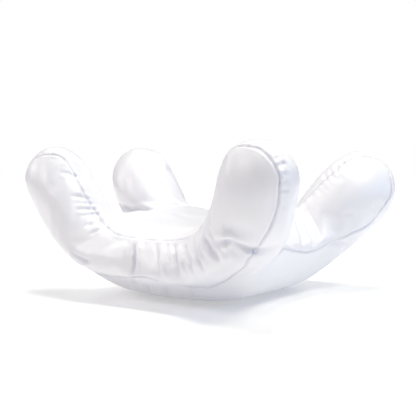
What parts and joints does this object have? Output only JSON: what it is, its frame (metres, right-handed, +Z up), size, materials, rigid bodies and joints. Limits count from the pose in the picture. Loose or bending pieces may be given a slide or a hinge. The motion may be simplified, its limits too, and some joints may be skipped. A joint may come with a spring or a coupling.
{
  "type": "contour pillow",
  "caption": "Filled satin contour pillow with a hub for the head or neck and upturned rounded arms at its corners.",
  "frame": {"origin": "on the surface that the pillow rests on, under the middle of the space that it fills", "axes": "+X along the pillow's length from left arms to right arms, +Y from front arms to back arms, +Z up"},
  "size_m": [0.4292, 0.3708, 0.2168],
  "materials": {
    "satin": "white satin with a soft sheen"
  },
  "bodies": {
    "root": {"pillow": "satin"}
  },
  "joints": []
}
